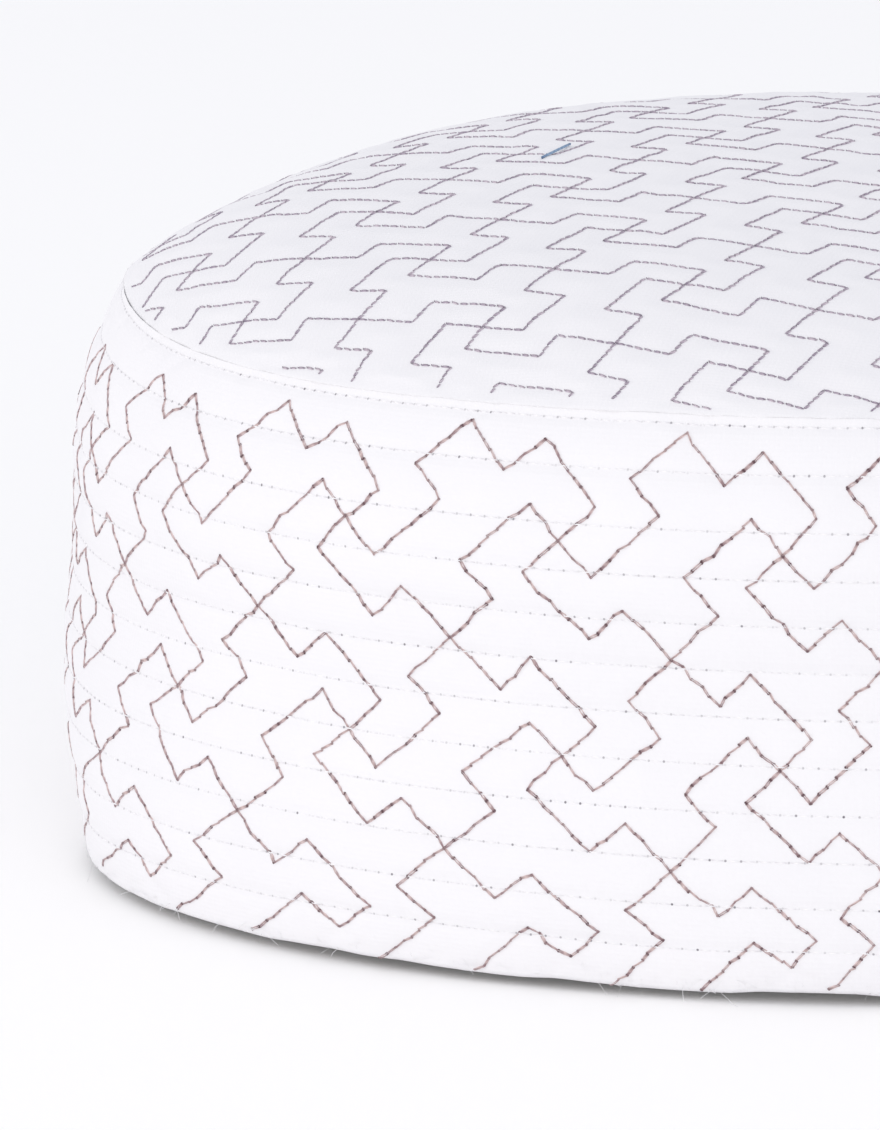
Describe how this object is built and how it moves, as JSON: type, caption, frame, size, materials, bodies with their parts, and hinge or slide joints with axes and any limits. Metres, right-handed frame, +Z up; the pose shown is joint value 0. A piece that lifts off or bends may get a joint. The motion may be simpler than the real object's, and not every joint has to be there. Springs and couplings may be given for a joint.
{
  "type": "quilted prayer cap",
  "caption": "Round quilted and embroidered cotton prayer cap with an upright band, a pillowed crown and an open underside, standing on its hem.",
  "frame": {"origin": "centre of the hem circle, on the plane that the cap stands on", "axes": "+Z up, out through the middle of the crown; -Y is the front, +Y is the back seam"},
  "size_m": [0.1886, 0.1886, 0.0742],
  "materials": {
    "outer_cotton": "white plain-weave cotton, matt",
    "interlining": "stiff sew-in interlining, matt",
    "lining_cotton": "white lining cotton, matt",
    "bias_tape": "folded cotton bias tape",
    "sweatband_cotton": "brushed cotton twill",
    "white_thread": "white sewing thread",
    "embroidery_thread": "two-ply taupe machine embroidery thread",
    "blue_thread": "steel blue tacking thread"
  },
  "bodies": {
    "root": {"crown_shell": "outer_cotton", "crown_seam_allowance": "outer_cotton", "crown_interlining": "interlining", "crown_lining": "lining_cotton", "crown_seam_binding": "bias_tape", "band_shell": "outer_cotton", "band_interlining": "interlining", "band_lining": "lining_cotton", "sweatband": "sweatband_cotton", "crown_edge_stitching": "white_thread", "sweatband_stitching": "white_thread", "back_seam_stitching": "white_thread", "marking_thread": "blue_thread", "quilting_row_01": "white_thread", "quilting_row_02": "white_thread", "quilting_row_03": "white_thread", "quilting_row_04": "white_thread", "quilting_row_05": "white_thread", "quilting_row_06": "white_thread", "quilting_row_07": "white_thread", "quilting_row_08": "white_thread", "quilting_row_09": "white_thread", "quilting_row_10": "white_thread", "quilting_row_11": "white_thread"}
  },
  "joints": []
}
